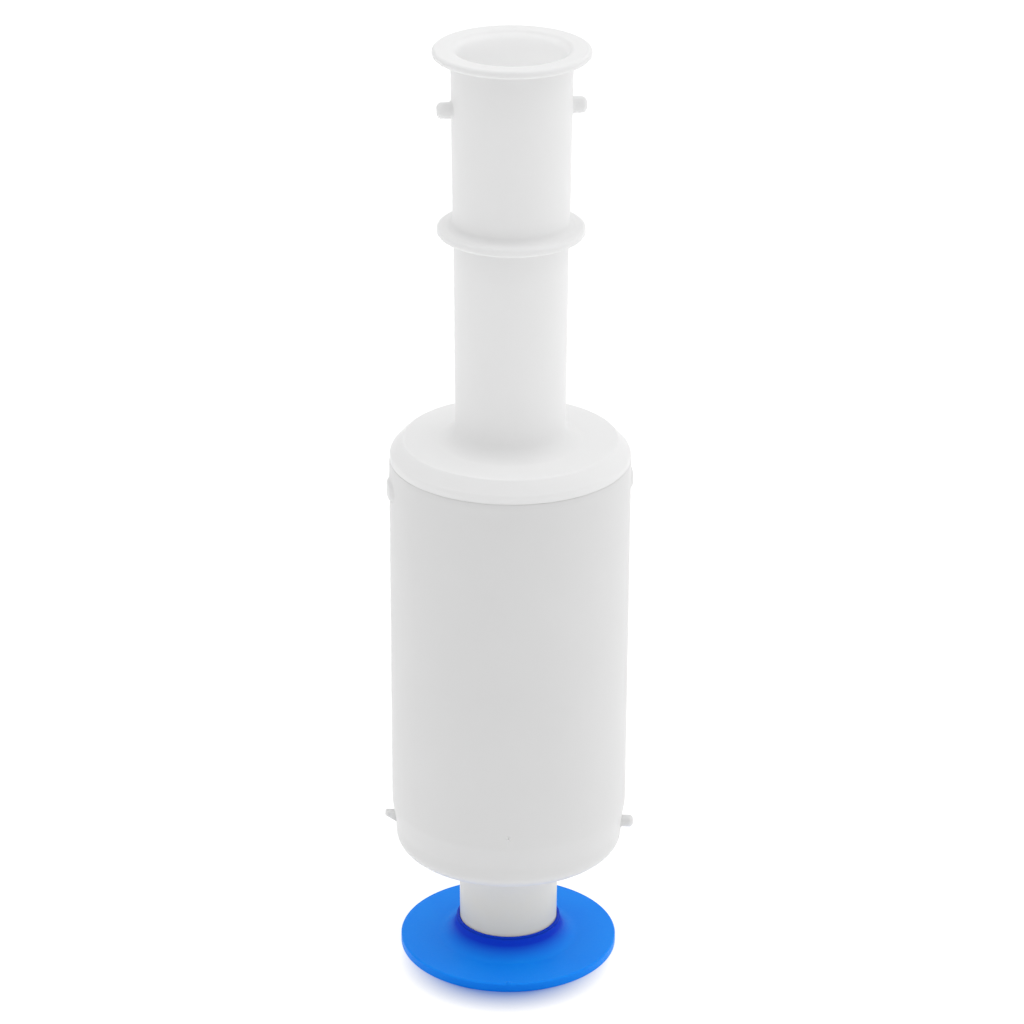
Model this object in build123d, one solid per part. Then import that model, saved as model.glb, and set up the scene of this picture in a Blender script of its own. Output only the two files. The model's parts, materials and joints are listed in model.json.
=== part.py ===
from build123d import *
import os

# Flush valve float tube: the inner unit that lifts out of a cistern flush valve.
# Millimetres. The tube's axis is +Z, and height 0 is the underside of the base seal.
# The two lifting pegs lie on the X axis.

# Tube: one long draft from the foot to the stop ring, and a second one above the ring.
TUBE_FOOT_Z = 1.6
TUBE_FOOT_R = 14.12
TUBE_DRAFT = 0.00789
UPPER_TUBE_R = 16.09
UPPER_DRAFT = 0.0115
BORE_FOOT_R = 12.4
BORE_TOP_R = 15.0
SPIGOT_BORE_TOP_Z = 16.0
MOUTH_BORE_BOTTOM_Z = 247.0

# Open mouth at the top.
RIM_Z = 273.6
RIM_R = 21.7
RIM_THICKNESS = 2.3
RIM_ROUNDING = 1.1
BELL_RADIUS = 4.2

# Stop ring and lifting pegs on the upper tube.
RING_Z = 220.8
RING_THICKNESS = 2.4
RING_R = 20.44
RING_ROUNDING = 1.0
PEG_Z = 256.8
PEG_R = 2.25
PEG_REACH = 20.6
PEG_ROUNDING = 1.5
PEG_FILLET = 0.8

# Rebated foot that the seal slides onto.
FOOT_REBATE_R = 13.45
FOOT_SHOULDER_Z = 5.5

# Float cap, in one piece with the tube, and the plug skirt that it pushes into the cup.
CAP_TOP_Z = 160.1
CAP_R = 33.8
CAP_WALL = 2.0
CAP_COVE = 5.0
CHAMFER_R = 30.35
CHAMFER_Z = 156.25
CHAMFER_ROUNDING = 1.0
EDGE_STEP = 0.25
SEAM_Z = 154.4
SKIRT_R = 32.17
SKIRT_INNER_R = 29.4
SKIRT_BOTTOM_Z = 143.6
BEAD_Z = 147.2
BEAD_R = 32.85
BEAD_HALF_HEIGHT = 2.0
SNAP_SLOTS = 8
SNAP_SLOT_WIDTH = 1.6
SNAP_SLOT_TOP_Z = 149.8

# O-rings: the cap's seals the top of the float, the neck's seals the bottom.
CAP_O_RING_Z = 152.6
CAP_O_RING_SECTION_R = 0.9
NECK_O_RING_Z = 39.6
NECK_O_RING_SECTION_R = 1.2
O_RING_CLEARANCE = 0.05
GROOVE_SIDE_CLEARANCE = 0.1

# Float cup: the lower shell of the float.
CUP_BOTTOM_Z = 33.6
CUP_TOP_R = 33.96
CUP_SHOULDER_Z = 152.6
CUP_MOUTH_R = 33.84
CUP_WAIST_R = 33.78
CUP_WAIST_TOP_Z = 47.5
CUP_WAIST_BOTTOM_Z = 40.5
CUP_WAIST_ROUNDING = 10.0
CUP_BASE_R = 32.65
CUP_BASE_ROUNDING = 4.0
CUP_MOUTH_BORE_R = 32.25
CUP_MOUTH_BORE_BOTTOM_Z = 143.0
CUP_INNER_BOTTOM_R = 31.2
CUP_FLOOR = 1.9
SEAM_GAP = 0.15
BEAD_CLEARANCE = 0.1
COLLAR_R = 18.6
COLLAR_TOP_Z = 45.0
COLLAR_CLEARANCE = 0.08

# Grip pads, guide lugs and the gate mark on the cup.
PAD_Z = 146.5
PAD_REACH = 34.8
PAD_HALF_HEIGHT = 3.7
PAD_HALF_WIDTH = 5.5
PAD_ROUNDING = 0.6
LUG_TURN = -11
WEDGE_TOP_Z = 41.9
WEDGE_REACH = 36.0
WEDGE_HEIGHT = 3.7
WEDGE_TIP = 1.4
WEDGE_WIDTH = 2.2
STUD_Z = 40.0
STUD_R = 1.75
STUD_REACH = 36.3
STUD_ROUNDING = 1.1
GATE_TURN = -99
GATE_Z = 51.2
GATE_R = 0.45
GATE_PROUD = 0.15

# Base seal.
SEAL_R = 31.5
SEAL_THICKNESS = 2.75
SEAL_COLLAR_TOP_Z = 8.6
SEAL_LIP = 0.9
SEAL_COVE = 5.6
SEAL_CLEARANCE = 0.08
SEAL_RECESS_R = 19.2
SEAL_RECESS_DEPTH = 1.55

# Retainer: a split spigot that grips inside the tube's foot, with a flange under the seal.
RETAINER_FLANGE_R = 18.8
RETAINER_FLANGE_BOTTOM_Z = 0.35
RETAINER_FLANGE_TOP_Z = 1.5
RETAINER_R = 12.33
RETAINER_INNER_R = 11.1
RETAINER_TOP_Z = 14.0
RETAINER_SLITS = 4
RETAINER_SLIT_WIDTH = 1.5
RETAINER_SLIT_BOTTOM_Z = 4.0


def turned(*corners):
    """Solid turned about Z from corners given as (radius, height, corner rounding)."""
    points = [(radius, height) for radius, height, _ in corners]
    roundings = [rounding for _, _, rounding in corners]
    outline = FilletPolyline(*points, radius=roundings, close=True)
    return revolve(Plane.XZ * make_face(outline.edges()), Axis.Z)


def around(count, tool):
    """Copies of a tool spaced evenly about Z."""
    return [Rot(0, 0, 360 * i / count) * tool for i in range(count)]


def opposite(solid):
    """A feature and its copy on the other side of the axis."""
    return [solid, Rot(0, 0, 180) * solid]


def tube_r(height):
    """Outer radius of the tube below the stop ring."""
    return TUBE_FOOT_R + TUBE_DRAFT * (height - TUBE_FOOT_Z)


def upper_tube_r(height):
    """Outer radius of the tube above the stop ring."""
    return UPPER_TUBE_R + UPPER_DRAFT * (height - RING_Z - RING_THICKNESS)


def tube_wall():
    """The whole tube, from its rebated foot to the open mouth."""
    ring_top = RING_Z + RING_THICKNESS
    rim_bottom = RIM_Z - RIM_THICKNESS
    return turned(
        (BORE_FOOT_R, TUBE_FOOT_Z, 0),
        (FOOT_REBATE_R, TUBE_FOOT_Z, 0.3),
        (FOOT_REBATE_R, FOOT_SHOULDER_Z, 0),
        (tube_r(FOOT_SHOULDER_Z), FOOT_SHOULDER_Z, 0.2),
        (tube_r(RING_Z), RING_Z, 0.6),
        (RING_R, RING_Z, RING_ROUNDING),
        (RING_R, ring_top, RING_ROUNDING),
        (upper_tube_r(ring_top), ring_top, 0.8),
        (upper_tube_r(rim_bottom), rim_bottom, 0.8),
        (RIM_R, rim_bottom, RIM_ROUNDING),
        (RIM_R, RIM_Z, RIM_ROUNDING),
        (BORE_TOP_R, RIM_Z, BELL_RADIUS),
        (BORE_TOP_R, MOUTH_BORE_BOTTOM_Z, 0),
        (BORE_FOOT_R, SPIGOT_BORE_TOP_Z, 0),
    )


def float_cap():
    """Cap plate with its chamfered edge band and the skirt that plugs into the cup."""
    groove_bottom_r = CUP_MOUTH_BORE_R - 2 * O_RING_CLEARANCE - 2 * CAP_O_RING_SECTION_R
    groove_half = CAP_O_RING_SECTION_R + GROOVE_SIDE_CLEARANCE
    underside = CAP_TOP_Z - CAP_WALL
    cap = turned(
        (tube_r(CAP_TOP_Z) - 0.6, underside, 0),
        (SKIRT_INNER_R, underside, 2.0),
        (SKIRT_INNER_R, SKIRT_BOTTOM_Z, 0.3),
        (SKIRT_R - 0.6, SKIRT_BOTTOM_Z, 0.3),
        (SKIRT_R, BEAD_Z - BEAD_HALF_HEIGHT, 0),
        (BEAD_R, BEAD_Z - 0.5, 0.4),
        (BEAD_R, BEAD_Z + 0.8, 0.3),
        (SKIRT_R, BEAD_Z + BEAD_HALF_HEIGHT, 0),
        (SKIRT_R, CAP_O_RING_Z - groove_half, 0),
        (groove_bottom_r, CAP_O_RING_Z - groove_half, 0),
        (groove_bottom_r, CAP_O_RING_Z + groove_half, 0),
        (SKIRT_R, CAP_O_RING_Z + groove_half, 0),
        (SKIRT_R, SEAM_Z, 0.2),
        (CAP_R, SEAM_Z, 0.2),
        (CAP_R, CHAMFER_Z, CHAMFER_ROUNDING),
        (CHAMFER_R, CAP_TOP_Z - EDGE_STEP, 0.15),
        (CHAMFER_R, CAP_TOP_Z, 0.08),
        (tube_r(CAP_TOP_Z), CAP_TOP_Z, CAP_COVE),
        (tube_r(CAP_TOP_Z), CAP_TOP_Z + CAP_COVE + 1, 0),
        (tube_r(CAP_TOP_Z) - 0.6, CAP_TOP_Z + CAP_COVE + 1, 0),
    )
    slot_height = SNAP_SLOT_TOP_Z - SKIRT_BOTTOM_Z + 1
    slot = Pos(SKIRT_R, 0, SNAP_SLOT_TOP_Z - slot_height / 2) * Box(8, SNAP_SLOT_WIDTH, slot_height)
    return cap - around(SNAP_SLOTS, slot)


def lifting_peg():
    """Round-ended peg on +X."""
    root = BORE_TOP_R + 0.6
    length = PEG_REACH - root
    peg = Pos(root + length / 2, 0, PEG_Z) * Rot(0, 90, 0) * Cylinder(PEG_R, length)
    tip = peg.edges().filter_by(GeomType.CIRCLE).sort_by(Axis.X)[-1]
    return fillet(tip, PEG_ROUNDING)


def overflow_tube():
    """Tube, mouth, stop ring, lifting pegs and float cap, moulded as one piece."""
    pegged = tube_wall() + opposite(lifting_peg())
    roots = pegged.edges().filter_by(GeomType.BSPLINE)
    return fillet(roots, PEG_FILLET) + float_cap()


def guide_stud():
    """Round-ended guide stud on +X, low on the cup."""
    root = CUP_BASE_R - 1
    length = STUD_REACH - root
    stud = Pos(root + length / 2, 0, STUD_Z) * Rot(0, 90, 0) * Cylinder(STUD_R, length)
    tip = stud.edges().filter_by(GeomType.CIRCLE).sort_by(Axis.X)[-1]
    return fillet(tip, STUD_ROUNDING)


def guide_wedge():
    """Guide wedge on +X, with a flat top and a sloped underside."""
    root = CUP_BASE_R - 1
    side = Polyline(
        (root, WEDGE_TOP_Z),
        (root, WEDGE_TOP_Z - WEDGE_HEIGHT),
        (CUP_BASE_R, WEDGE_TOP_Z - WEDGE_HEIGHT),
        (WEDGE_REACH, WEDGE_TOP_Z - WEDGE_TIP),
        (WEDGE_REACH, WEDGE_TOP_Z),
        close=True,
    )
    wedge = extrude(Plane.XZ * make_face(side.edges()), WEDGE_WIDTH / 2, both=True)
    return fillet(wedge.edges().filter_by(Axis.Z).group_by(Axis.X)[-1], 0.4)


def grip_pad():
    """Low oval pad centred on +X, just under the cup's mouth."""
    root = CUP_TOP_R - 0.6
    ring = turned(
        (root, PAD_Z - 2 * PAD_HALF_HEIGHT, 0),
        (PAD_REACH, PAD_Z - 2 * PAD_HALF_HEIGHT, 0),
        (PAD_REACH, PAD_Z + 2 * PAD_HALF_HEIGHT, 0),
        (root, PAD_Z + 2 * PAD_HALF_HEIGHT, 0),
    )
    outline = Plane.YZ * Pos(0, PAD_Z) * Ellipse(PAD_HALF_WIDTH, PAD_HALF_HEIGHT)
    pad = ring & extrude(outline, PAD_REACH + 1)
    return fillet(pad.edges().sort_by(Axis.X)[-1], PAD_ROUNDING)


def cup_shell():
    """Turned shell of the float cup, with its gland around the tube."""
    mouth = SEAM_Z - SEAM_GAP
    groove_r = BEAD_R + BEAD_CLEARANCE
    gland_half = NECK_O_RING_SECTION_R + GROOVE_SIDE_CLEARANCE
    gland_r = tube_r(NECK_O_RING_Z) + 2 * O_RING_CLEARANCE + 2 * NECK_O_RING_SECTION_R
    floor = CUP_BOTTOM_Z + CUP_FLOOR
    return turned(
        (tube_r(CUP_BOTTOM_Z) + COLLAR_CLEARANCE, CUP_BOTTOM_Z, 0.3),
        (CUP_BASE_R, CUP_BOTTOM_Z, CUP_BASE_ROUNDING),
        (CUP_BASE_R, CUP_WAIST_BOTTOM_Z, CUP_WAIST_ROUNDING),
        (CUP_WAIST_R, CUP_WAIST_TOP_Z, CUP_WAIST_ROUNDING),
        (CUP_TOP_R, CUP_SHOULDER_Z, 3.0),
        (CUP_MOUTH_R, mouth, 0.15),
        (CUP_MOUTH_BORE_R, mouth, 0.15),
        (CUP_MOUTH_BORE_R, BEAD_Z + BEAD_HALF_HEIGHT + 0.1, 0),
        (groove_r, BEAD_Z + 0.8, 0.2),
        (groove_r, BEAD_Z - 0.6, 0.2),
        (CUP_MOUTH_BORE_R, BEAD_Z - BEAD_HALF_HEIGHT - 0.2, 0),
        (CUP_MOUTH_BORE_R, CUP_MOUTH_BORE_BOTTOM_Z, 0),
        (CUP_INNER_BOTTOM_R, floor, 2.4),
        (COLLAR_R, floor, 1.0),
        (COLLAR_R, COLLAR_TOP_Z, 0.4),
        (tube_r(COLLAR_TOP_Z) + COLLAR_CLEARANCE, COLLAR_TOP_Z, 0.3),
        (tube_r(NECK_O_RING_Z) + COLLAR_CLEARANCE, NECK_O_RING_Z + gland_half, 0),
        (gland_r, NECK_O_RING_Z + gland_half, 0),
        (gland_r, NECK_O_RING_Z - gland_half, 0),
        (tube_r(NECK_O_RING_Z) + COLLAR_CLEARANCE, NECK_O_RING_Z - gland_half, 0),
    )


def float_cup():
    """Lower shell of the float, with grip pads, a stud and a wedge as guides, and a gate mark."""
    stud = Rot(0, 0, LUG_TURN) * guide_stud()
    wedge = Rot(0, 0, LUG_TURN + 180) * guide_wedge()
    gate = Pos(CUP_TOP_R - 0.6, 0, GATE_Z) * Rot(0, 90, 0) * Cylinder(
        GATE_R, 0.6 + GATE_PROUD, align=(Align.CENTER, Align.CENTER, Align.MIN)
    )
    return cup_shell() + opposite(grip_pad()) + stud + wedge + Rot(0, 0, GATE_TURN) * gate


def o_ring(centre_r, height, section_r):
    """O-ring lying flat at a height."""
    return Pos(0, 0, height) * Torus(centre_r, section_r)


def base_seal():
    """Blue sealing disc with a coved collar around the tube's foot."""
    foot_bore_r = FOOT_REBATE_R + SEAL_CLEARANCE
    collar_bore_r = tube_r(SEAL_COLLAR_TOP_Z) + O_RING_CLEARANCE
    collar_r = collar_bore_r + SEAL_LIP
    cove_side = collar_r - collar_bore_r
    step_z = FOOT_SHOULDER_Z - SEAL_CLEARANCE
    return turned(
        (foot_bore_r, SEAL_RECESS_DEPTH, 0),
        (SEAL_RECESS_R, SEAL_RECESS_DEPTH, 0.3),
        (SEAL_RECESS_R, 0, 0),
        (SEAL_R, 0, 0.3),
        (SEAL_R, SEAL_THICKNESS, 0.4),
        (collar_r, SEAL_THICKNESS, SEAL_COVE),
        (collar_r, SEAL_COLLAR_TOP_Z, cove_side * 0.4),
        (collar_bore_r, SEAL_COLLAR_TOP_Z, cove_side * 0.3),
        (collar_bore_r, step_z, 0),
        (foot_bore_r, step_z, 0),
    )


def seal_retainer():
    """Flanged spigot, split so that it springs into the tube's foot."""
    body = turned(
        (RETAINER_INNER_R, RETAINER_FLANGE_BOTTOM_Z, 0.3),
        (RETAINER_FLANGE_R, RETAINER_FLANGE_BOTTOM_Z, 0.3),
        (RETAINER_FLANGE_R, RETAINER_FLANGE_TOP_Z, 0.2),
        (RETAINER_R, RETAINER_FLANGE_TOP_Z, 0),
        (RETAINER_R, RETAINER_TOP_Z, 0.5),
        (RETAINER_INNER_R, RETAINER_TOP_Z, 0.3),
    )
    height = RETAINER_TOP_Z - RETAINER_SLIT_BOTTOM_Z + 1
    slit = Pos(RETAINER_R, 0, RETAINER_SLIT_BOTTOM_Z + height / 2) * Box(4, RETAINER_SLIT_WIDTH, height)
    return body - around(RETAINER_SLITS, slit)


def cap_o_ring():
    """O-ring in the cap's skirt."""
    centre_r = CUP_MOUTH_BORE_R - O_RING_CLEARANCE - CAP_O_RING_SECTION_R
    return o_ring(centre_r, CAP_O_RING_Z, CAP_O_RING_SECTION_R)


def neck_o_ring():
    """O-ring in the cup's gland, around the tube."""
    centre_r = tube_r(NECK_O_RING_Z) + O_RING_CLEARANCE + NECK_O_RING_SECTION_R
    return o_ring(centre_r, NECK_O_RING_Z, NECK_O_RING_SECTION_R)


os.makedirs("parts", exist_ok=True)
for make in (overflow_tube, float_cup, cap_o_ring, neck_o_ring, base_seal, seal_retainer):
    export_step(make(), f"parts/{make.__name__}.step")
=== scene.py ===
import json
from math import acos, ceil, cos, hypot, pi, radians, sin, sqrt, tan

import bmesh
import bpy
from mathutils import Matrix, Vector


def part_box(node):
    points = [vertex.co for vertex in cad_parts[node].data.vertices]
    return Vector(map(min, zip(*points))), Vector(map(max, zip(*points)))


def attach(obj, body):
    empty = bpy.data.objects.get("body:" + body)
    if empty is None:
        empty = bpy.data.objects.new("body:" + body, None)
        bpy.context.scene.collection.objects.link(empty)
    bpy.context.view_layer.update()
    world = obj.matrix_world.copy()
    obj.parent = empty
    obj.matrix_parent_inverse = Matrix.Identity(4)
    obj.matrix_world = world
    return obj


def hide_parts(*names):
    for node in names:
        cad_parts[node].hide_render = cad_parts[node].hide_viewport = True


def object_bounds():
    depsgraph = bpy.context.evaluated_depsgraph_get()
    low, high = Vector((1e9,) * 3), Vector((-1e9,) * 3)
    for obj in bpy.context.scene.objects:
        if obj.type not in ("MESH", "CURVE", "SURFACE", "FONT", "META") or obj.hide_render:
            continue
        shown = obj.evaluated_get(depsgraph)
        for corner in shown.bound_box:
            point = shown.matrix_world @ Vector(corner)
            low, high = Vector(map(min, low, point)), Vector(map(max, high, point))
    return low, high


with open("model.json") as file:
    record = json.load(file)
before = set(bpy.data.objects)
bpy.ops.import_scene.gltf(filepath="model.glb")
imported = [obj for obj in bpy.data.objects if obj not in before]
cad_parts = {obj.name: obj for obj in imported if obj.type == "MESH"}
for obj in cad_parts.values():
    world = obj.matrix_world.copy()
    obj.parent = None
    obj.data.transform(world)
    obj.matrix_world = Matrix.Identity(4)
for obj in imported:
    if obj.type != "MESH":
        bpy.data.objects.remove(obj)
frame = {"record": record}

# Flush valve float tube: overflow tube, float cup, base seal, retainer and two O-rings.
# Outlines are worked in millimetres from the frame's boxes, and the meshes are in metres.
# The tube's axis is +Z, and the two lifting pegs lie on the X axis.

MM = 0.001
CAD_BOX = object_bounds()


# ---------------------------------------------------------------- sizes from the frame

def low_high(node):
    """Heights of a node's lowest and highest point, in millimetres."""
    low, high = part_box(node)
    return low.z / MM, high.z / MM


def reach(node):
    """Largest Y of a node in millimetres, which is the radius of a turned piece."""
    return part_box(node)[1].y / MM


MOUNTS = {mount["name"]: mount for mount in frame["record"]["mounts"]}
TUBE_FOOT_Z, RIM_Z = low_high("overflow_tube")
CUP_BOTTOM_Z, CUP_MOUTH_Z = low_high("float_cup")
SEAL_BOTTOM_Z, SEAL_COLLAR_TOP_Z = low_high("base_seal")
RETAINER_BOTTOM_Z, RETAINER_TOP_Z = low_high("seal_retainer")
BORE_TOP_R = MOUNTS["overflow_mouth"]["dims"]["r_mm"]
PEG_R = MOUNTS["lifting_peg_right"]["dims"]["r_mm"]
PEG_Z = MOUNTS["lifting_peg_right"]["pos_m"][2] / MM
RING_Z = MOUNTS["stop_ring_underside"]["pos_m"][2] / MM

# Tube.
TUBE_FOOT_R = 14.12
TUBE_DRAFT = 0.00789
UPPER_TUBE_R = 16.09
UPPER_DRAFT = 0.0115
BORE_FOOT_R = 12.4
SPIGOT_BORE_TOP_Z = 16.0
MOUTH_BORE_BOTTOM_Z = 247.0
FOOT_REBATE_R = 13.45
FOOT_SHOULDER_Z = 5.5
RIM_R = 21.7
RIM_THICKNESS = 2.3
RIM_ROUNDING = 1.1
BELL_RADIUS = 2.2
BORE_BLEND = 8.0
RING_THICKNESS = 2.4
RING_R = 20.44
RING_ROUNDING = 1.0
RING_TOP_COVE = 1.8
PEG_REACH = 20.6
PEG_FILLET = 0.9
PEG_TIP = 1.5
PEG_SUNK = 0.03

# Float cap and its plug skirt.
CAP_TOP_Z = 160.1
CAP_WALL = 2.0
CAP_R = reach("overflow_tube")
CAP_COVE = 5.0
CHAMFER_R = 30.35
CHAMFER_Z = 156.25
CHAMFER_ROUNDING = 2.0
EDGE_STEP = 0.2
EDGE_TURN_IN = 0.3
SEAM_Z = CUP_MOUTH_Z + 0.03
SEAM_EDGE = 0.06
SKIRT_R = 32.17
SKIRT_INNER_R = 29.4
SKIRT_BOTTOM_Z = 143.6
BEAD_Z = 147.2
BEAD_R = 32.85
BEAD_HALF_HEIGHT = 2.0
BEAD_CLEARANCE = 0.1
SNAP_SLOTS = 8
SNAP_SLOT_WIDTH = 1.6
SNAP_SLOT_TOP_Z = 149.8

# Float cup.
CUP_TOP_R = 33.95
CUP_SHOULDER_Z = 152.6
CUP_WAIST_R = 33.78
CUP_WAIST_TOP_Z = 47.5
CUP_WAIST_BOTTOM_Z = 40.5
CUP_WAIST_ROUNDING = 10.0
CUP_BASE_R = 32.65
CUP_BASE_ROUNDING = 4.0
CUP_MOUTH_BORE_R = 32.25
CUP_MOUTH_BORE_BOTTOM_Z = 143.0
CUP_INNER_BOTTOM_R = 31.2
CUP_FLOOR = 1.9
COLLAR_R = 18.6
COLLAR_TOP_Z = 45.0
COLLAR_GAP = 0.08
PAD_Z = 146.5
PAD_PROUD = 0.82
PAD_HALF_HEIGHT = 3.7
PAD_HALF_WIDTH = 5.5
PAD_EDGE = 1.5
LUG_TURN = radians(-11)
WEDGE_TOP_Z = 41.88
WEDGE_REACH = 35.95
WEDGE_WIDTH = 2.1
WEDGE_HEIGHT = 3.9
WEDGE_TIP = 1.35
WEDGE_ROUNDING = 0.35
STUD_Z = 40.0
STUD_R = 1.74
STUD_REACH = 36.25
STUD_ROOT = 0.3
STUD_TIP = 1.2
GATE_TURN = radians(-99)
GATE_Z = 51.2

# O-rings, the room around them in their grooves, and the flash that their mould leaves.
CAP_O_RING_Z = sum(low_high("cap_o_ring")) / 2
CAP_O_RING_SECTION_R = 0.9
NECK_O_RING_Z = sum(low_high("neck_o_ring")) / 2
NECK_O_RING_SECTION_R = 1.2
O_RING_CLEARANCE = 0.05
GROOVE_SIDE_CLEARANCE = 0.1
FLASH = 0.04
FLASH_HALF_HEIGHT = 0.1

# Base seal and retainer.
SEAL_R = reach("base_seal")
SEAL_THICKNESS = 2.75
SEAL_LIP = 0.9
SEAL_COVE = 5.6
SEAL_CLEARANCE = 0.08
SEAL_RECESS_R = 19.2
SEAL_RECESS_DEPTH = 1.55
NUB_INSET = 0.7
NUB_SUNK = 0.08
RETAINER_FLANGE_R = reach("seal_retainer")
RETAINER_FLANGE_TOP_Z = 1.5
RETAINER_R = 12.33
RETAINER_INNER_R = 11.1
RETAINER_SLITS = 4
RETAINER_SLIT_WIDTH = 1.5
RETAINER_SLIT_BOTTOM_Z = 4.0


def tube_r(height):
    """Outer radius of the tube below the stop ring."""
    return TUBE_FOOT_R + TUBE_DRAFT * (height - TUBE_FOOT_Z)


def upper_tube_r(height):
    """Outer radius of the tube above the stop ring."""
    return UPPER_TUBE_R + UPPER_DRAFT * (height - RING_Z - RING_THICKNESS)


def smooth(value):
    """Smooth step from 0 to 1."""
    value = min(max(value, 0.0), 1.0)
    return value * value * (3 - 2 * value)


# ---------------------------------------------------------------- mesh making

# Turn between two points of an arc, longest straight run, and how close a run's first and last
# rings stand to its ends.
ARC_STEP = radians(9)
RING_STEP = 4.0
SUPPORT = 0.12


def arc_points(before, corner, after, rounding):
    """Points of the arc that rounds one corner, or the corner alone if it is sharp."""
    into = (corner - before).normalized()
    out = (after - corner).normalized()
    turn = acos(min(max(into.dot(out), -1.0), 1.0))
    if rounding <= 0 or turn < radians(0.5):
        return [corner]
    side = 1 if into.x * out.y - into.y * out.x > 0 else -1
    start = corner - into * rounding * tan(turn / 2)
    centre = start + Vector((-into.y, into.x)) * side * rounding
    steps = max(3, ceil(turn / ARC_STEP))
    arm = start - centre
    return [centre + Matrix.Rotation(side * turn * i / steps, 2) @ arm for i in range(steps + 1)]


def straight_points(start, end, step):
    """Points inside a straight run: one close to each end, and the rest evenly spaced."""
    length = (end - start).length
    if length < 3 * SUPPORT:
        return []
    count = max(1, ceil((length - 2 * SUPPORT) / step))
    places = [SUPPORT + (length - 2 * SUPPORT) * i / count for i in range(count + 1)]
    return [start.lerp(end, place / length) for place in places]


def outline(corners, step=RING_STEP):
    """Closed outline from corners given as (radius, height, rounding)."""
    spots = [Vector((radius, height)) for radius, height, _ in corners]
    count = len(spots)
    arcs = [
        arc_points(spots[i - 1], spots[i], spots[(i + 1) % count], corners[i][2])
        for i in range(count)
    ]
    points = []
    for i, arc in enumerate(arcs):
        points += arc
        points += straight_points(arc[-1], arcs[(i + 1) % count][0], step)
    return points


def new_object(name, bm):
    """Object with a smooth-shaded mesh, from millimetres to metres."""
    bmesh.ops.recalc_face_normals(bm, faces=bm.faces)
    bmesh.ops.scale(bm, vec=(MM, MM, MM), verts=bm.verts)
    for face in bm.faces:
        face.smooth = True
    mesh = bpy.data.meshes.new(name)
    bm.to_mesh(mesh)
    bm.free()
    piece = bpy.data.objects.new(name, mesh)
    bpy.context.scene.collection.objects.link(piece)
    return piece


def turned(name, points, segments, shape=None):
    """Closed ring-shaped solid: an outline turned about Z, with an optional change of radius."""
    bm = bmesh.new()
    columns = []
    for i in range(segments):
        angle = 2 * pi * i / segments
        column = []
        for point in points:
            radius = point.x if shape is None else shape(point.x, angle, point.y)
            column.append(bm.verts.new((radius * cos(angle), radius * sin(angle), point.y)))
        columns.append(column)
    count = len(points)
    for i in range(segments):
        left, right = columns[i], columns[(i + 1) % segments]
        for j in range(count):
            k = (j + 1) % count
            bm.faces.new((left[j], right[j], right[k], left[k]))
    return new_object(name, bm)


def button(name, profile, segments, place):
    """Closed knob: a profile of (radius, height) from axis to axis, put in place point by point."""
    bm = bmesh.new()
    rings = []
    for radius, height in profile[1:-1]:
        turns = [2 * pi * i / segments for i in range(segments)]
        rings.append([bm.verts.new(place(radius * cos(a), radius * sin(a), height)) for a in turns])
    for low, high in zip(rings, rings[1:]):
        for i in range(segments):
            k = (i + 1) % segments
            bm.faces.new((low[i], low[k], high[k], high[i]))
    for ring, (_, height) in ((rings[0], profile[0]), (rings[-1], profile[-1])):
        centre = bm.verts.new(place(0, 0, height))
        for i in range(segments):
            bm.faces.new((ring[i], ring[(i + 1) % segments], centre))
    return new_object(name, bm)


def block(bm, low, high):
    """Plain box added to a mesh."""
    made = bmesh.ops.create_cube(bm, size=1)["verts"]
    size = [b - a for a, b in zip(low, high)]
    middle = [(a + b) / 2 for a, b in zip(low, high)]
    bmesh.ops.scale(bm, vec=size, verts=made)
    bmesh.ops.translate(bm, vec=middle, verts=made)
    return made


def combine(piece, tool, operation):
    """Boolean of a tool on a piece. The tool is used up."""
    modifier = piece.modifiers.new("combine", "BOOLEAN")
    modifier.operation = operation
    modifier.solver = "EXACT"
    modifier.object = tool
    bpy.context.view_layer.update()
    evaluated = piece.evaluated_get(bpy.context.evaluated_depsgraph_get())
    mesh = bpy.data.meshes.new_from_object(evaluated)
    piece.modifiers.clear()
    piece.data = mesh
    bpy.data.objects.remove(tool)


def turn_about_z(piece, angle):
    """Turns a mesh about the tube's axis."""
    piece.data.transform(Matrix.Rotation(angle, 4, "Z"))


def add_turned(piece, make, turn, operation="UNION"):
    """Adds or cuts a feature that is made on +X and turned by an angle."""
    tool = make()
    turn_about_z(tool, turn)
    combine(piece, tool, operation)


def blocks_around(name, count, low, high):
    """Copies of a box spaced evenly about Z, as one object."""
    bm = bmesh.new()
    for i in range(count):
        made = block(bm, low, high)
        turn = Matrix.Rotation(2 * pi * i / count, 3, "Z")
        bmesh.ops.rotate(bm, verts=made, cent=(0, 0, 0), matrix=turn)
    return new_object(name, bm)


def circle_arc(centre_r, centre_z, radius, start, end, steps):
    """Points of an arc in (radius, height), with angles in degrees."""
    turns = [radians(start + (end - start) * i / steps) for i in range(steps + 1)]
    return [(centre_r + radius * cos(a), centre_z + radius * sin(a)) for a in turns]


# ---------------------------------------------------------------- parting lines

RIDGE = 0.05
RIDGE_HALF_WIDTH = 0.28


def parting_ridge(radius, angle):
    """Height of the faint mould parting line that runs down both sides, in the pegs' plane."""
    off = abs(sin(angle)) * radius
    return RIDGE * (1 - smooth(off / RIDGE_HALF_WIDTH))


# ---------------------------------------------------------------- overflow tube

TUBE_SEGMENTS = 192


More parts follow.
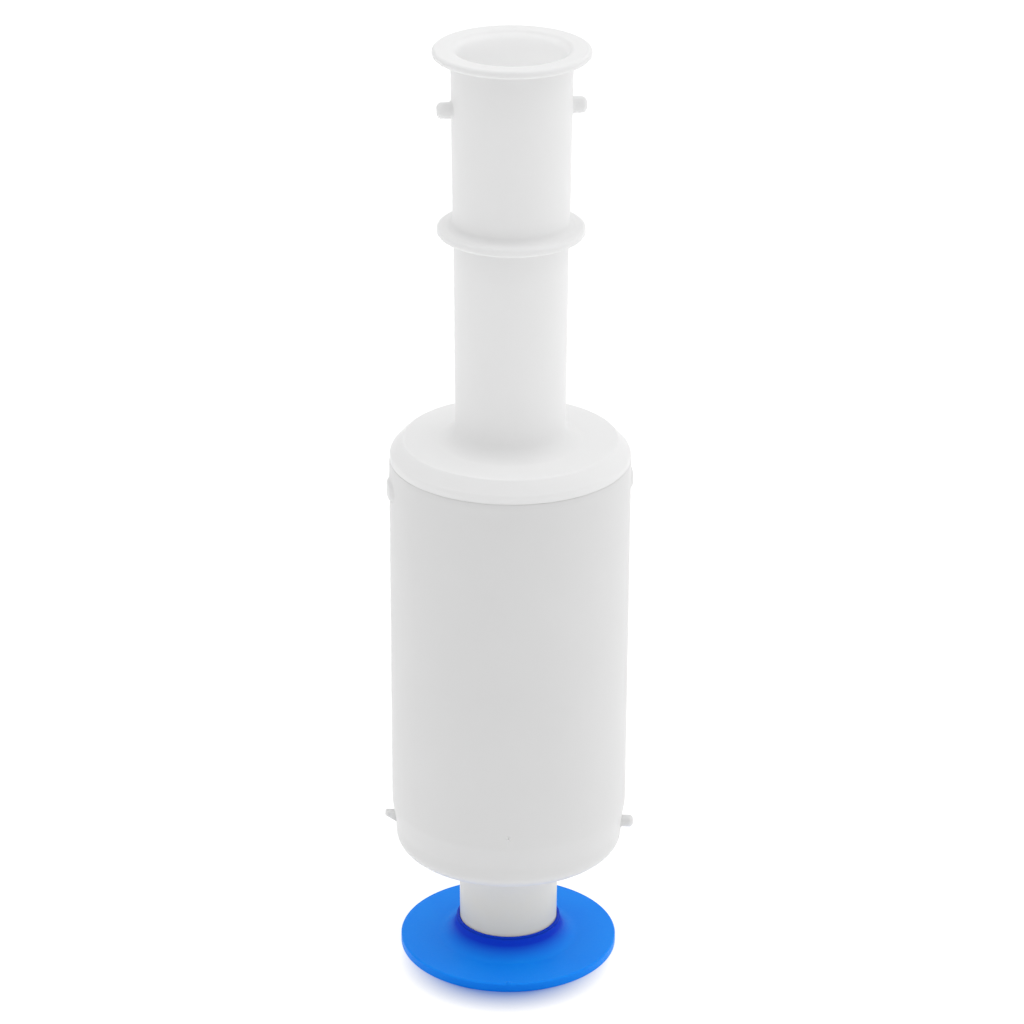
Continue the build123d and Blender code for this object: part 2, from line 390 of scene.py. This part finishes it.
def tube_outline():
    """Section of tube, mouth, stop ring, cap and skirt."""
    ring_top = RING_Z + RING_THICKNESS
    rim_bottom = RIM_Z - RIM_THICKNESS
    underside = CAP_TOP_Z - CAP_WALL
    groove_r = CUP_MOUTH_BORE_R - 2 * O_RING_CLEARANCE - 2 * CAP_O_RING_SECTION_R
    groove_half = CAP_O_RING_SECTION_R + GROOVE_SIDE_CLEARANCE
    return outline([
        (BORE_FOOT_R, TUBE_FOOT_Z, 0.2),
        (FOOT_REBATE_R, TUBE_FOOT_Z, 0.3),
        (FOOT_REBATE_R, FOOT_SHOULDER_Z, 0.1),
        (tube_r(FOOT_SHOULDER_Z), FOOT_SHOULDER_Z, 0.2),
        (tube_r(underside), underside, 0.8),
        (SKIRT_INNER_R, underside, 2.0),
        (SKIRT_INNER_R, SKIRT_BOTTOM_Z, 0.3),
        (SKIRT_R - 0.6, SKIRT_BOTTOM_Z, 0.3),
        (SKIRT_R, BEAD_Z - BEAD_HALF_HEIGHT, 0.4),
        (BEAD_R, BEAD_Z - 0.5, 0.4),
        (BEAD_R, BEAD_Z + 0.8, 0.3),
        (SKIRT_R, BEAD_Z + BEAD_HALF_HEIGHT, 0.2),
        (SKIRT_R, CAP_O_RING_Z - groove_half, 0.08),
        (groove_r, CAP_O_RING_Z - groove_half, 0.15),
        (groove_r, CAP_O_RING_Z + groove_half, 0.15),
        (SKIRT_R, CAP_O_RING_Z + groove_half, 0.08),
        (SKIRT_R, SEAM_Z, 0.1),
        (CAP_R, SEAM_Z, SEAM_EDGE),
        (CAP_R, CHAMFER_Z, CHAMFER_ROUNDING),
        (CHAMFER_R, CAP_TOP_Z - EDGE_STEP, 0.4),
        (CHAMFER_R - EDGE_TURN_IN, CAP_TOP_Z, 0.4),
        (tube_r(CAP_TOP_Z), CAP_TOP_Z, CAP_COVE),
        (tube_r(RING_Z), RING_Z, 0.6),
        (RING_R, RING_Z, RING_ROUNDING),
        (RING_R, ring_top, RING_ROUNDING),
        (upper_tube_r(ring_top), ring_top, RING_TOP_COVE),
        (upper_tube_r(rim_bottom), rim_bottom, 0.9),
        (RIM_R, rim_bottom, RIM_ROUNDING),
        (RIM_R, RIM_Z, RIM_ROUNDING),
        (BORE_TOP_R, RIM_Z, BELL_RADIUS),
        (BORE_TOP_R, MOUTH_BORE_BOTTOM_Z, BORE_BLEND),
        (BORE_FOOT_R, SPIGOT_BORE_TOP_Z, BORE_BLEND),
    ])


def tube_shape(radius, angle, height):
    """Tube with its faint parting lines, on the outside only and above the cap."""
    outside = upper_tube_r(height) - 1 < radius < RIM_R - 0.1
    above_cap = height > CAP_TOP_Z + 0.5
    return radius + parting_ridge(radius, angle) if outside and above_cap else radius


def peg():
    """Lifting peg on +X with a soft root that follows the tube's wall."""
    wall = upper_tube_r(PEG_Z)
    length = PEG_REACH - wall
    root = circle_arc(PEG_R + PEG_FILLET, PEG_FILLET - PEG_SUNK, PEG_FILLET, 270, 180, 8)
    tip = circle_arc(PEG_R - PEG_TIP, length - PEG_TIP, PEG_TIP, 0, 90, 8)
    profile = [(0, -1.0), (PEG_R + PEG_FILLET, -1.0)] + root + tip + [(0.4, length), (0, length)]

    def place(across, up, out):
        """Point on the peg: its root hugs the round wall, and its tip is square."""
        hug = 1 - smooth(out / PEG_FILLET)
        surface = wall + hug * (sqrt(wall * wall - across * across) - wall)
        return surface + out, across, PEG_Z + up

    return button("peg", profile, 40, place)


def make_tube():
    """Overflow tube with its cap, pegs and snap slots."""
    tube = turned("tube_body", tube_outline(), TUBE_SEGMENTS, tube_shape)
    for side in (0, pi):
        add_turned(tube, peg, side)
    half = SNAP_SLOT_WIDTH / 2
    low = (SKIRT_INNER_R - 2, -half, SKIRT_BOTTOM_Z - 1)
    high = (BEAD_R + 1, half, SNAP_SLOT_TOP_Z)
    combine(tube, blocks_around("slots", SNAP_SLOTS, low, high), "DIFFERENCE")
    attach(tube, "tube")
    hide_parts("overflow_tube")
    return tube


# ---------------------------------------------------------------- float cup

CUP_SEGMENTS = 320


def cup_outline():
    """Section of the cup's wall, foot and gland."""
    gland_half = NECK_O_RING_SECTION_R + GROOVE_SIDE_CLEARANCE
    gland_r = tube_r(NECK_O_RING_Z) + 2 * O_RING_CLEARANCE + 2 * NECK_O_RING_SECTION_R
    gland_bottom = NECK_O_RING_Z - gland_half
    gland_top = NECK_O_RING_Z + gland_half
    groove_r = BEAD_R + BEAD_CLEARANCE
    floor = CUP_BOTTOM_Z + CUP_FLOOR
    bore_r = tube_r(NECK_O_RING_Z) + COLLAR_GAP
    return outline([
        (tube_r(CUP_BOTTOM_Z) + COLLAR_GAP, CUP_BOTTOM_Z, 0.4),
        (CUP_BASE_R, CUP_BOTTOM_Z, CUP_BASE_ROUNDING),
        (CUP_BASE_R, CUP_WAIST_BOTTOM_Z, CUP_WAIST_ROUNDING),
        (CUP_WAIST_R, CUP_WAIST_TOP_Z, CUP_WAIST_ROUNDING),
        (CUP_TOP_R - 0.03, PAD_Z, 0),
        (CUP_TOP_R, CUP_SHOULDER_Z, 3.0),
        (CAP_R + 0.02, CUP_MOUTH_Z, SEAM_EDGE),
        (CUP_MOUTH_BORE_R, CUP_MOUTH_Z, 0.15),
        (CUP_MOUTH_BORE_R, BEAD_Z + BEAD_HALF_HEIGHT + 0.1, 0.2),
        (groove_r, BEAD_Z + 0.8, 0.2),
        (groove_r, BEAD_Z - 0.6, 0.2),
        (CUP_MOUTH_BORE_R, BEAD_Z - BEAD_HALF_HEIGHT - 0.2, 0.2),
        (CUP_MOUTH_BORE_R, CUP_MOUTH_BORE_BOTTOM_Z, 0.5),
        (CUP_INNER_BOTTOM_R, floor, 2.4),
        (COLLAR_R, floor, 1.0),
        (COLLAR_R, COLLAR_TOP_Z, 0.4),
        (tube_r(COLLAR_TOP_Z) + COLLAR_GAP, COLLAR_TOP_Z, 0.3),
        (bore_r, gland_top, 0.08),
        (gland_r, gland_top, 0.15),
        (gland_r, gland_bottom, 0.15),
        (bore_r, gland_bottom, 0.08),
    ])


def pad_height(angle, height):
    """How far the oval grip pads stand out of the wall."""
    away = hypot(sin(angle) * CUP_TOP_R / PAD_HALF_WIDTH, (height - PAD_Z) / PAD_HALF_HEIGHT)
    return PAD_PROUD * smooth((1 - away) * PAD_HALF_HEIGHT / PAD_EDGE)


def cup_shape(radius, angle, height):
    """Cup with its two grip pads."""
    if radius > CUP_TOP_R - 0.3 and abs(height - PAD_Z) < PAD_HALF_HEIGHT:
        return radius + pad_height(angle, height)
    return radius


def refine(points, low, high, step):
    """Outline with more rings on the outer wall between two heights."""
    finer = []
    for point, after in zip(points, points[1:] + points[:1]):
        finer.append(point)
        middle = (point + after) / 2
        if low < middle.y < high and middle.x > CUP_WAIST_R:
            count = ceil((after - point).length / step)
            finer += [point.lerp(after, i / count) for i in range(1, count)]
    return finer


def stud():
    """Round-ended guide stud on +X."""
    wall = CUP_BASE_R + 0.1
    length = STUD_REACH - wall
    root = circle_arc(STUD_R + STUD_ROOT, STUD_ROOT, STUD_ROOT, 270, 180, 5)
    tip = circle_arc(STUD_R - STUD_TIP, length - STUD_TIP, STUD_TIP, 0, 90, 8)
    profile = [(0, -1.2), (STUD_R + STUD_ROOT, -1.2)] + root + tip + [(0.25, length), (0, length)]

    def place(across, up, out):
        """Point on the stud, standing on the wall."""
        return wall + out, across, STUD_Z + up

    return button("stud", profile, 32, place)


def wedge():
    """Guide wedge on +X, with a flat top and a sloped underside."""
    bm = bmesh.new()
    half = WEDGE_WIDTH / 2
    tip_low = WEDGE_TOP_Z - WEDGE_TIP
    low = (CUP_BASE_R - 0.8, -half, WEDGE_TOP_Z - WEDGE_HEIGHT)
    made = block(bm, low, (WEDGE_REACH, half, WEDGE_TOP_Z))
    for vert in made:
        if vert.co.x > CUP_BASE_R and vert.co.z < tip_low:
            vert.co.z = tip_low
    crisp = [edge for edge in bm.edges if max(v.co.x for v in edge.verts) > CUP_BASE_R]
    bmesh.ops.bevel(
        bm,
        geom=crisp,
        offset=WEDGE_ROUNDING,
        segments=4,
        profile=0.5,
        affect="EDGES",
        clamp_overlap=True,
    )
    return new_object("wedge", bm)


def place_at_gate(across, up, out):
    """Point near the gate mark, standing on the cup's wall on +X."""
    return CUP_WAIST_R + out, across, GATE_Z + up


def gate_mark():
    """Small raised ring that the injection point left on the cup."""
    profile = [
        (0, -0.8), (0.5, -0.8), (0.5, 0.0), (0.45, 0.1),
        (0.36, 0.13), (0.28, 0.08), (0.2, -0.25), (0, -0.3),
    ]
    return button("gate", profile, 20, place_at_gate)


def gate_pit():
    """Pit in the middle of the gate mark."""
    profile = [(0, -0.35), (0.14, -0.33), (0.24, 0.0), (0.3, 0.5), (0, 0.5)]
    return button("pit", profile, 20, place_at_gate)


def make_cup():
    """Float cup with pads, stud, wedge and the gate mark."""
    pad_reach = PAD_HALF_HEIGHT + 0.5
    points = refine(cup_outline(), PAD_Z - pad_reach, PAD_Z + pad_reach, 0.3)
    cup = turned("float_shell", points, CUP_SEGMENTS, cup_shape)
    add_turned(cup, stud, LUG_TURN)
    add_turned(cup, wedge, LUG_TURN + pi)
    add_turned(cup, gate_mark, GATE_TURN)
    add_turned(cup, gate_pit, GATE_TURN, "DIFFERENCE")
    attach(cup, "cup")
    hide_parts("float_cup")
    return cup


# ---------------------------------------------------------------- O-rings

def make_o_ring(name, centre_r, height, section_r, body, node):
    """O-ring with the thin flash line that its mould leaves inside and outside."""
    steps = 28
    points = []
    for i in range(steps):
        turn = 2 * pi * i / steps
        lift = section_r * sin(turn)
        share = 1 - smooth(abs(lift) / FLASH_HALF_HEIGHT)
        radius = section_r - FLASH + FLASH * share
        points.append(Vector((centre_r + radius * cos(turn), height + radius * sin(turn))))
    ring = turned(name, points, 192)
    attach(ring, body)
    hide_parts(node)
    return ring


# ---------------------------------------------------------------- base seal

def make_seal():
    """Base seal with its coved collar and the nub of its gate on the top edge."""
    foot_bore_r = FOOT_REBATE_R + SEAL_CLEARANCE
    collar_bore_r = tube_r(SEAL_COLLAR_TOP_Z) + O_RING_CLEARANCE
    collar_r = collar_bore_r + SEAL_LIP
    step_z = FOOT_SHOULDER_Z - SEAL_CLEARANCE
    points = outline([
        (foot_bore_r, SEAL_RECESS_DEPTH, 0.2),
        (SEAL_RECESS_R, SEAL_RECESS_DEPTH, 0.3),
        (SEAL_RECESS_R, SEAL_BOTTOM_Z, 0.15),
        (SEAL_R, SEAL_BOTTOM_Z, 0.3),
        (SEAL_R, SEAL_THICKNESS, 0.5),
        (collar_r, SEAL_THICKNESS, SEAL_COVE),
        (collar_r, SEAL_COLLAR_TOP_Z, SEAL_LIP * 0.4),
        (collar_bore_r, SEAL_COLLAR_TOP_Z, SEAL_LIP * 0.3),
        (collar_bore_r, step_z, 0.05),
        (foot_bore_r, step_z, 0.1),
    ], 0.9)
    seal = turned("seal_disc", points, 288)
    profile = [(0, -0.8), (0.62, -0.8), (0.62, 0.0), (0.56, 0.2), (0.4, 0.36), (0.2, 0.42), (0, 0.43)]

    def place(across, along, out):
        """Point on the nub, which stands on the seal's top edge."""
        return SEAL_R - NUB_INSET + along, across, SEAL_THICKNESS - NUB_SUNK + out

    nub = button("nub", profile, 20, place)
    turn_about_z(nub, GATE_TURN)
    combine(seal, nub, "UNION")
    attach(seal, "seal")
    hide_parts("base_seal")
    return seal


# ---------------------------------------------------------------- retainer

def make_retainer():
    """Flanged spigot with its slits."""
    points = outline([
        (RETAINER_INNER_R, RETAINER_BOTTOM_Z, 0.3),
        (RETAINER_FLANGE_R, RETAINER_BOTTOM_Z, 0.3),
        (RETAINER_FLANGE_R, RETAINER_FLANGE_TOP_Z, 0.2),
        (RETAINER_R, RETAINER_FLANGE_TOP_Z, 0.15),
        (RETAINER_R, RETAINER_TOP_Z, 0.5),
        (RETAINER_INNER_R, RETAINER_TOP_Z, 0.3),
    ], 1.0)
    retainer = turned("retainer_ring", points, 192)
    half = RETAINER_SLIT_WIDTH / 2
    low = (RETAINER_R - 2.4, -half, RETAINER_SLIT_BOTTOM_Z)
    high = (RETAINER_R + 2, half, RETAINER_TOP_Z + 1)
    combine(retainer, blocks_around("slits", RETAINER_SLITS, low, high), "DIFFERENCE")
    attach(retainer, "retainer")
    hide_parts("seal_retainer")
    return retainer


# ---------------------------------------------------------------- materials

# Tones are base colours, depths are how far light spreads in the plastic, in metres.
TUBE_TONE = 0.87
CUP_TONE = 0.765
RETAINER_TONE = 0.84
TUBE_DEPTH = 0.0003
MOUTH_DEPTH = 0.02
# Painted shade: multiplies the neck's colour near the seal, darker and most in blue.
NECK_SHADE_TINT = (0.97, 0.92, 0.76)
SEAL_BLUES = ((0.004, 0.25, 0.96), (0.006, 0.275, 0.99))
# Painted shade: the darker blue of the seal's collar, where shade falls under the float.
COLLAR_SHADE_BLUE = (0.0, 0.045, 0.62)
RUBBER_BLACKS = ((0.014, 0.014, 0.015), (0.024, 0.024, 0.026))


class Nodes:
    """A material's node tree, with short calls to add nodes and join them."""

    def __init__(self, name):
        self.material = bpy.data.materials.new(name)
        self.material.use_nodes = True
        self.tree = self.material.node_tree
        self.shader = self.tree.nodes["Principled BSDF"]

    def add(self, kind, **values):
        """New node, with attributes, or inputs where the name is one."""
        node = self.tree.nodes.new(kind)
        for name, value in values.items():
            if hasattr(node, name):
                setattr(node, name, value)
            else:
                node.inputs[name.replace("_", " ")].default_value = value
        return node

    def join(self, source, target):
        """Link from an output to an input."""
        self.tree.links.new(source, target)

    def noise(self, scale, detail, stretch=(1, 1, 1)):
        """Noise in the piece's own metres, its factor output."""
        place = self.add("ShaderNodeTexCoord")
        mapping = self.add("ShaderNodeMapping", Scale=stretch)
        noise = self.add("ShaderNodeTexNoise", Scale=scale, Detail=detail)
        self.join(place.outputs["Object"], mapping.inputs["Vector"])
        self.join(mapping.outputs["Vector"], noise.inputs["Vector"])
        return noise.outputs["Fac"]

    def height(self):
        """Height above the frame's origin, in metres."""
        place = self.add("ShaderNodeTexCoord")
        split = self.add("ShaderNodeSeparateXYZ")
        self.join(place.outputs["Object"], split.inputs["Vector"])
        return split.outputs["Z"]

    def radius(self, centre=(0, 0)):
        """Distance in plan from the tube's axis, or from another centre, in metres."""
        place = self.add("ShaderNodeTexCoord")
        flat = self.add("ShaderNodeVectorMath", operation="MULTIPLY_ADD")
        flat.inputs[1].default_value = (1, 1, 0)
        flat.inputs[2].default_value = (-centre[0], -centre[1], 0)
        length = self.add("ShaderNodeVectorMath", operation="LENGTH")
        self.join(place.outputs["Object"], flat.inputs[0])
        self.join(flat.outputs["Vector"], length.inputs[0])
        return length.outputs["Value"]

    def span(self, source, low, high, start=0.3, end=0.7):
        """A value mapped from one span to another. The first span suits a noise factor."""
        node = self.add("ShaderNodeMapRange")
        for name, value in (("From Min", start), ("From Max", end), ("To Min", low), ("To Max", high)):
            node.inputs[name].default_value = value
        self.join(source, node.inputs["Value"])
        return node.outputs["Result"]

    def blend(self, factor, first, second):
        """Colour between two colours."""
        node = self.add("ShaderNodeMix", data_type="RGBA")
        self.set_colours(node, first, second)
        self.join(factor, node.inputs["Factor"])
        return node.outputs[2]

    def colour_input(self, node, name):
        """The colour input called A or B of a mix node."""
        return next(socket for socket in node.inputs if socket.name == name and socket.type == "RGBA")

    def set_colours(self, node, first, second):
        """Constant colours of a mix node."""
        for name, colour in (("A", first), ("B", second)):
            if colour is not None:
                self.colour_input(node, name).default_value = (*colour, 1)

    def bump(self, source, depth, strength, after=None):
        """Bump of a depth in metres, on top of an earlier one."""
        node = self.add("ShaderNodeBump", Distance=depth, Strength=strength)
        self.join(source, node.inputs["Height"])
        if after is not None:
            self.join(after, node.inputs["Normal"])
        return node.outputs["Normal"]

    def set(self, **values):
        """Constant inputs of the shader."""
        for name, value in values.items():
            self.shader.inputs[name.replace("_", " ")].default_value = value


def moulded_plastic(name, tone, roughness):
    """Unpigmented polypropylene: milky, satin, with flow mottling and faint drag lines."""
    m = Nodes(name)
    mottle = m.span(m.noise(28, 3), 0, 1)
    m.join(m.blend(mottle, (tone - 0.015,) * 3, (tone,) * 3), m.shader.inputs["Base Color"])
    drag = m.noise(900, 2, (1, 1, 0.02))
    m.join(m.span(drag, roughness - 0.05, roughness + 0.06), m.shader.inputs["Roughness"])
    skin = m.bump(m.noise(1600, 2), 0.00002, 0.5)
    lines = m.bump(drag, 0.000012, 0.5, skin)
    waves = m.bump(m.noise(60, 1), 0.00012, 0.35, lines)
    m.join(waves, m.shader.inputs["Normal"])
    m.set(IOR=1.49, Specular_IOR_Level=0.28)
    m.set(Subsurface_Weight=1.0, Subsurface_Scale=0.001, Subsurface_Radius=(1, 1, 1))
    return m


def tube_plastic():
    """The tube's plastic: light comes through the mouth's thin wall, and the neck has painted shade,
    darker and less blue towards the seal.
    """
    m = moulded_plastic("natural_plastic", TUBE_TONE, 0.38)
    inside = m.span(m.radius(), 1, 0, BORE_TOP_R * MM + 0.0004, BORE_TOP_R * MM + 0.0009)
    upper = m.span(m.height(), 0, 1, RING_Z * MM + 0.003, RING_Z * MM + 0.006)
    glow = m.add("ShaderNodeMath", operation="MULTIPLY")
    m.join(inside, glow.inputs[0])
    m.join(upper, glow.inputs[1])
    depth = m.span(glow.outputs["Value"], TUBE_DEPTH, MOUTH_DEPTH, 0, 1)
    m.join(depth, m.shader.inputs["Subsurface Scale"])
    # Painted shade: the neck darkens towards the seal, most in blue, which takes out the seal's blue
    # bounce light.
    neck_shade = m.add("ShaderNodeMix", data_type="RGBA", blend_type="MULTIPLY")
    m.set_colours(neck_shade, None, NECK_SHADE_TINT)
    m.join(m.span(m.height(), 1, 0, 0.008, 0.032), neck_shade.inputs["Factor"])
    m.join(m.shader.inputs["Base Color"].links[0].from_socket, m.colour_input(neck_shade, "A"))
    m.join(neck_shade.outputs[2], m.shader.inputs["Base Color"])
    return m.material


def seal_rubber():
    """Bright blue thermoplastic rubber, smooth with a soft shine, with painted shade on its collar."""
    m = Nodes("blue_seal")
    disc = m.blend(m.span(m.noise(45, 3), 0, 1), *SEAL_BLUES)
    # Painted shade: from the disc's top upwards, the collar turns the darker blue.
    collar_shade = m.add("ShaderNodeMix", data_type="RGBA")
    m.set_colours(collar_shade, None, COLLAR_SHADE_BLUE)
    m.join(m.span(m.height(), 0, 1, 0.0029, 0.0062), collar_shade.inputs["Factor"])
    m.join(disc, m.colour_input(collar_shade, "A"))
    m.join(collar_shade.outputs[2], m.shader.inputs["Base Color"])
    grain = m.noise(1100, 3)
    m.join(m.span(grain, 0.4, 0.5), m.shader.inputs["Roughness"])
    skin = m.bump(grain, 0.00002, 0.6)
    m.join(m.bump(m.noise(90, 1), 0.0001, 0.4, skin), m.shader.inputs["Normal"])
    m.set(IOR=1.47, Specular_IOR_Level=0.12)
    m.set(Subsurface_Weight=0.15, Subsurface_Scale=0.001, Subsurface_Radius=(0.3, 0.6, 1.0))
    return m.material


def nitrile():
    """Black O-ring rubber with a film of grease."""
    m = Nodes("black_rubber")
    m.join(m.blend(m.span(m.noise(300, 3), 0, 1), *RUBBER_BLACKS), m.shader.inputs["Base Color"])
    grain = m.noise(1800, 3)
    m.join(m.span(grain, 0.32, 0.5), m.shader.inputs["Roughness"])
    m.join(m.bump(grain, 0.00002, 0.6), m.shader.inputs["Normal"])
    m.set(IOR=1.52, Coat_Weight=0.3, Coat_Roughness=0.25)
    return m.material


# ---------------------------------------------------------------- studio

FLOOR_RADIUS = 3.0
# Painted shadow: a blue crescent in the floor's glow, centred a little in front of the seal.
SHADOW_CENTRE = (-0.003, -0.0127)
SHADOW_SPAN = (0.0195, 0.031)
SHADOW_BLUE = (0.0, 0.1, 0.42)


def pale_floor():
    """Round white floor, lit up to white, with a blue contact shadow painted into its glow in front of
    the seal.
    """
    bm = bmesh.new()
    bmesh.ops.create_circle(bm, cap_ends=True, radius=FLOOR_RADIUS, segments=96)
    mesh = bpy.data.meshes.new("floor")
    bm.to_mesh(mesh)
    bm.free()
    floor = bpy.data.objects.new("floor", mesh)
    floor.location.z = CAD_BOX[0].z
    bpy.context.scene.collection.objects.link(floor)
    m = Nodes("floor_paper")
    grain = m.noise(900, 3)
    m.join(m.span(grain, 0.75, 0.85), m.shader.inputs["Roughness"])
    m.join(m.bump(grain, 0.00005, 0.2), m.shader.inputs["Normal"])
    m.set(Base_Color=(0.3, 0.3, 0.3, 1), Specular_IOR_Level=0.2, Emission_Strength=0.8)
    # Painted shadow: the glow is dim and blue near the shifted centre, and white further out.
    shade = m.span(m.radius(SHADOW_CENTRE), 0, 1, *SHADOW_SPAN)
    m.join(m.blend(shade, SHADOW_BLUE, (1, 1, 1)), m.shader.inputs["Emission Color"])
    mesh.materials.append(m.material)


SKY_BASE = 0.68
SKY_LOBES = (
    # direction, cosine where it starts, cosine where it is full, change of brightness
    ((0.15, -0.97, 0.0), 0.0, 0.95, -0.5),
    ((0.9, -0.35, 0.0), 0.2, 0.95, 0.29),
    ((-0.95, -0.1, 0.2), 0.2, 0.95, -0.12),
    ((0.0, -0.2, 1.0), 0.15, 0.9, 0.65),
)


def studio_world():
    """White studio: bright from above and the right, dimmer from the front and the left."""
    world = bpy.data.worlds.new("studio")
    bpy.context.scene.world = world
    world.use_nodes = True
    tree = world.node_tree
    background = tree.nodes["Background"]
    place = tree.nodes.new("ShaderNodeTexCoord")
    total = None
    for direction, start, full, change in SKY_LOBES:
        dot = tree.nodes.new("ShaderNodeVectorMath")
        dot.operation = "DOT_PRODUCT"
        dot.inputs[1].default_value = Vector(direction).normalized()
        tree.links.new(place.outputs["Generated"], dot.inputs[0])
        lobe = tree.nodes.new("ShaderNodeMapRange")
        lobe.interpolation_type = "SMOOTHSTEP"
        for name, value in (("From Min", start), ("From Max", full), ("To Min", 0), ("To Max", change)):
            lobe.inputs[name].default_value = value
        tree.links.new(dot.outputs["Value"], lobe.inputs["Value"])
        add = tree.nodes.new("ShaderNodeMath")
        add.operation = "ADD"
        add.inputs[1].default_value = SKY_BASE
        if total is not None:
            tree.links.new(total, add.inputs[1])
        tree.links.new(lobe.outputs["Result"], add.inputs[0])
        total = add.outputs["Value"]
    background.inputs["Color"].default_value = (1, 1, 1, 1)
    tree.links.new(total, background.inputs["Strength"])


CAMERA_DISTANCE = 1.064187
CAMERA_HEIGHT = 0.603993
CAMERA_PITCH = 0.413211
CAMERA_AZIMUTH = radians(9)
CAMERA_YAW = 0.000524
CAMERA_ROLL = 0.00465
CAMERA_LENS = 144.897


def photo_camera():
    """Camera in front of the object, a little to its left, looking down on it."""
    data = bpy.data.cameras.new("camera")
    data.lens = CAMERA_LENS
    data.sensor_width = 36
    data.clip_end = 20
    camera = bpy.data.objects.new("camera", data)
    place = Vector((
        -CAMERA_DISTANCE * sin(CAMERA_AZIMUTH),
        -CAMERA_DISTANCE * cos(CAMERA_AZIMUTH),
        CAMERA_HEIGHT,
    ))
    turn = (
        Matrix.Rotation(-CAMERA_AZIMUTH - CAMERA_YAW, 4, "Z")
        @ Matrix.Rotation(pi / 2 - CAMERA_PITCH, 4, "X")
        @ Matrix.Rotation(CAMERA_ROLL, 4, "Z")
    )
    camera.matrix_world = Matrix.Translation(place) @ turn
    bpy.context.scene.collection.objects.link(camera)
    bpy.context.scene.camera = camera


# ---------------------------------------------------------------- the scene

photo_camera()
studio_world()
pale_floor()

rubber = nitrile()

make_tube().data.materials.append(tube_plastic())
cup_plastic = moulded_plastic("natural_plastic_cup", CUP_TONE, 0.4)
make_cup().data.materials.append(cup_plastic.material)
make_seal().data.materials.append(seal_rubber())
retainer_plastic = moulded_plastic("retainer_plastic", RETAINER_TONE, 0.45)
make_retainer().data.materials.append(retainer_plastic.material)
cap_ring_r = CUP_MOUTH_BORE_R - O_RING_CLEARANCE - CAP_O_RING_SECTION_R
neck_ring_r = tube_r(NECK_O_RING_Z) + O_RING_CLEARANCE + NECK_O_RING_SECTION_R
for ring in (
    ("cap_ring_seal", cap_ring_r, CAP_O_RING_Z, CAP_O_RING_SECTION_R, "tube", "cap_o_ring"),
    ("neck_ring_seal", neck_ring_r, NECK_O_RING_Z, NECK_O_RING_SECTION_R, "cup", "neck_o_ring"),
):
    make_o_ring(*ring).data.materials.append(rubber)

bpy.context.scene.view_settings.view_transform = "Standard"
